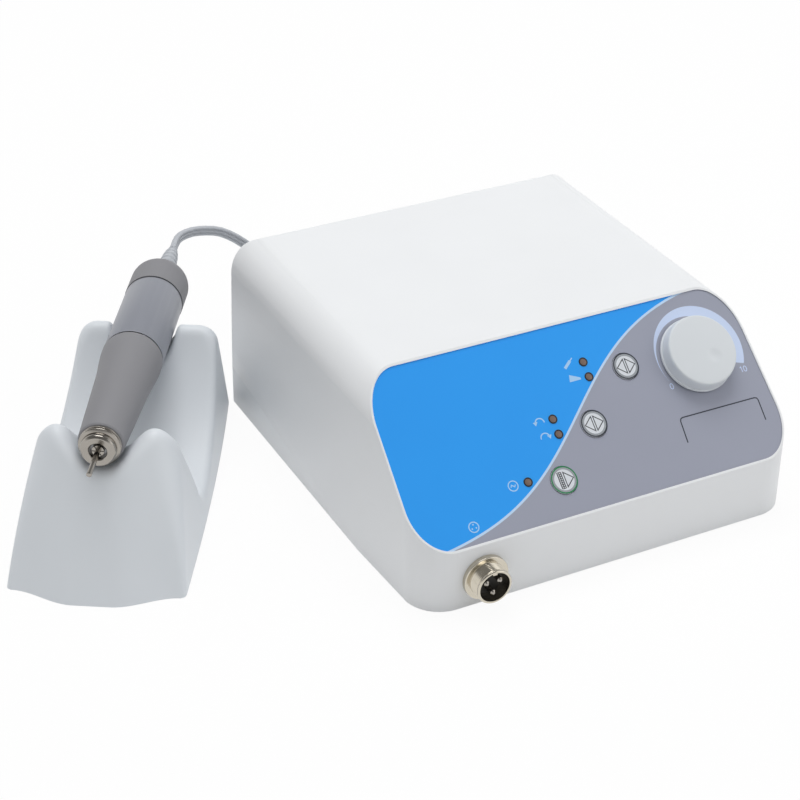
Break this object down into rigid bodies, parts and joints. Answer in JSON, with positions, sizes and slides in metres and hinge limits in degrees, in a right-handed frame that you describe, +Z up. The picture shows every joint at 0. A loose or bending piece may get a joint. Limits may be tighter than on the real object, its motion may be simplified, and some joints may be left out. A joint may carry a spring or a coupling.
{
  "type": "bench micromotor grinder",
  "caption": "Bench micromotor grinder set: sloped control unit with speed knob and keys, a stand, and a straight motor handpiece with a twist chuck on a flat cord.",
  "frame": {"origin": "middle of the set's footprint on the table, cord, coil and plug left out", "axes": "+X to the right along the control unit's front, +Y to its back, +Z up"},
  "size_m": [0.3337, 0.2915, 0.0845],
  "materials": {
    "case_white": "satin",
    "panel_print": "smooth printed film",
    "knob_grey": "satin",
    "key_pale": "smooth",
    "lamp_lens": "clear lens, unlit",
    "steel": "bright",
    "nickel": "polished nickel",
    "warm_nickel": "champagne nickel plate",
    "black_plastic": "moulded",
    "board_green": "lacquered board",
    "brass": "bare",
    "copper": "enamelled copper",
    "aluminium": "extruded",
    "iron": "laminated iron",
    "capacitor_sleeve": "shrink sleeve",
    "rubber_dark": "matte",
    "stand_white": "satin",
    "grip_grey": "soft matte",
    "sleeve_grey": "satin",
    "cord_grey": "ribbed flat cord",
    "carbon": "pressed carbon",
    "fuse_glass": "clear",
    "tie_grey": "woven strap"
  },
  "bodies": {
    "control_unit": {"top_housing": "case_white", "base_plate": "steel", "rear_panel": "steel", "panel_overlay": "panel_print", "key_board": "board_green", "tact_switches": "black_plastic", "indicator_leds": "lamp_lens", "pot_body": "steel", "pot_nut": "nickel", "motor_socket": "warm_nickel", "socket_insert": "black_plastic", "socket_pins": "nickel", "socket_nut": "nickel", "control_board": "board_green", "board_standoffs": "brass", "heat_sink": "aluminium", "filter_capacitors": "capacitor_sleeve", "transformer_core": "iron", "transformer_coil": "copper", "mains_inlet": "black_plastic", "inlet_pins": "brass", "switch_frame": "black_plastic", "fuse_holder": "black_plastic", "foot_jack": "black_plastic", "case_screws": "steel", "rubber_feet": "rubber_dark", "stand_shell": "stand_white", "stand_base": "stand_white", "cord_lead": "cord_grey", "cord_coil": "cord_grey", "coil_tie": "tie_grey", "plug_shell": "warm_nickel", "plug_nut": "warm_nickel", "plug_insert": "black_plastic", "plug_boot": "rubber_dark"},
    "speed_knob": {"speed_knob": "knob_grey", "pot_shaft": "steel"},
    "mode_key": {"mode_key": "key_pale"},
    "direction_key": {"direction_key": "key_pale"},
    "motor_key": {"motor_key": "key_pale"},
    "power_rocker": {"power_rocker": "black_plastic"},
    "handpiece": {"motor_sleeve": "sleeve_grey", "rear_cap": "grip_grey", "strain_relief": "cord_grey", "motor_can": "steel", "motor_magnets": "iron", "brush_holders": "brass", "carbon_brushes": "carbon", "front_bearing": "steel", "rear_bearing": "steel", "nose_collar": "nickel", "nose_nut": "nickel"},
    "twist_grip": {"front_grip": "grip_grey"},
    "spindle": {"spindle_shaft": "steel", "rotor_core": "iron", "commutator": "copper"},
    "collet": {"collet": "nickel"},
    "tool": {"tool_shank": "nickel"},
    "fuse_carrier": {"fuse_cap": "black_plastic", "fuse_link": "fuse_glass"}
  },
  "joints": [
    {"name": "knob_turn", "type": "hinge", "parent": "control_unit", "child": "speed_knob", "pos_m": [0.1354, -0.08164, 0.06455], "axis": [0, -0.6521, 0.7581], "range_deg": [-10, 230]},
    {"name": "mode_key_press", "type": "slide", "parent": "control_unit", "child": "mode_key", "axis": [0, 0.6521, -0.7581], "range_m": [0, 0.0005], "stiffness_N_per_m": 400, "springref_m": -0.0005},
    {"name": "direction_key_press", "type": "slide", "parent": "control_unit", "child": "direction_key", "axis": [0, 0.6521, -0.7581], "range_m": [0, 0.0005], "stiffness_N_per_m": 400, "springref_m": -0.0005},
    {"name": "motor_key_press", "type": "slide", "parent": "control_unit", "child": "motor_key", "axis": [0, 0.6521, -0.7581], "range_m": [0, 0.0005], "stiffness_N_per_m": 400, "springref_m": -0.0005},
    {"name": "power_switch", "type": "hinge", "parent": "control_unit", "child": "power_rocker", "pos_m": [0.066, 0.0689, 0.038], "axis": [1, 0, 0], "range_deg": [0, 20]},
    {"name": "fuse_pull", "type": "slide", "parent": "control_unit", "child": "fuse_carrier", "axis": [0, 1, 0], "range_m": [0, 0.035]},
    {"name": "handpiece_lift", "type": "slide", "parent": "control_unit", "child": "handpiece", "axis": [0, 0, 1], "range_m": [0, 0.07], "deforming": ["cord_lead"]},
    {"name": "chuck_twist", "type": "hinge", "parent": "handpiece", "child": "twist_grip", "pos_m": [-0.12227, -0.02486, 0.0553], "axis": [0.5195, 0.8545, 0], "range_deg": [0, 50]},
    {"name": "spindle_spin", "type": "hinge", "parent": "handpiece", "child": "spindle", "pos_m": [-0.12227, -0.02486, 0.0553], "axis": [0.5195, 0.8545, 0], "continuous": true},
    {"name": "collet_open", "type": "slide", "parent": "spindle", "child": "collet", "axis": [-0.5195, -0.8545, 0], "range_m": [0, 0.00122]},
    {"name": "tool_pull", "type": "slide", "parent": "collet", "child": "tool", "axis": [-0.5195, -0.8545, 0], "range_m": [0, 0.03]}
  ],
  "couplings": [
    {"joint": "collet_open", "follows": "chuck_twist", "m_per_rad": 0.00137}
  ]
}
